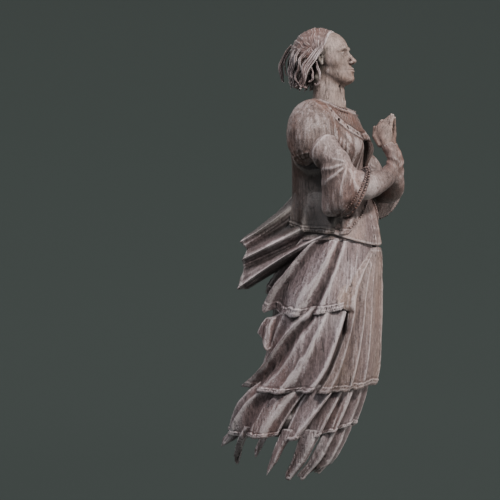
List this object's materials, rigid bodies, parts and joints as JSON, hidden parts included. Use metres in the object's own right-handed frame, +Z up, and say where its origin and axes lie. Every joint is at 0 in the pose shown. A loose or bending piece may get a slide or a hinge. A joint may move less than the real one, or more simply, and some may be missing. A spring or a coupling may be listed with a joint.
{
  "type": "ship figurehead",
  "caption": "Carved wooden ship figurehead of a praying woman in a wind-blown, tiered dress, with a flat seat and channel at the back for the stem timber.",
  "frame": {"origin": "centre of the flat seat on the figure's back, where it rests on the ship's stem timber", "axes": "the figure faces -Y, her left side is +X, and +Z is up; +Y is the seat's outward normal"},
  "size_m": [0.5394, 0.7176, 1.7996],
  "materials": {
    "weathered_wood": "bare weathered carved wood, matt, with grain, small checks and worn edges"
  },
  "bodies": {
    "root": {"carved_figure": "weathered_wood"}
  },
  "joints": []
}
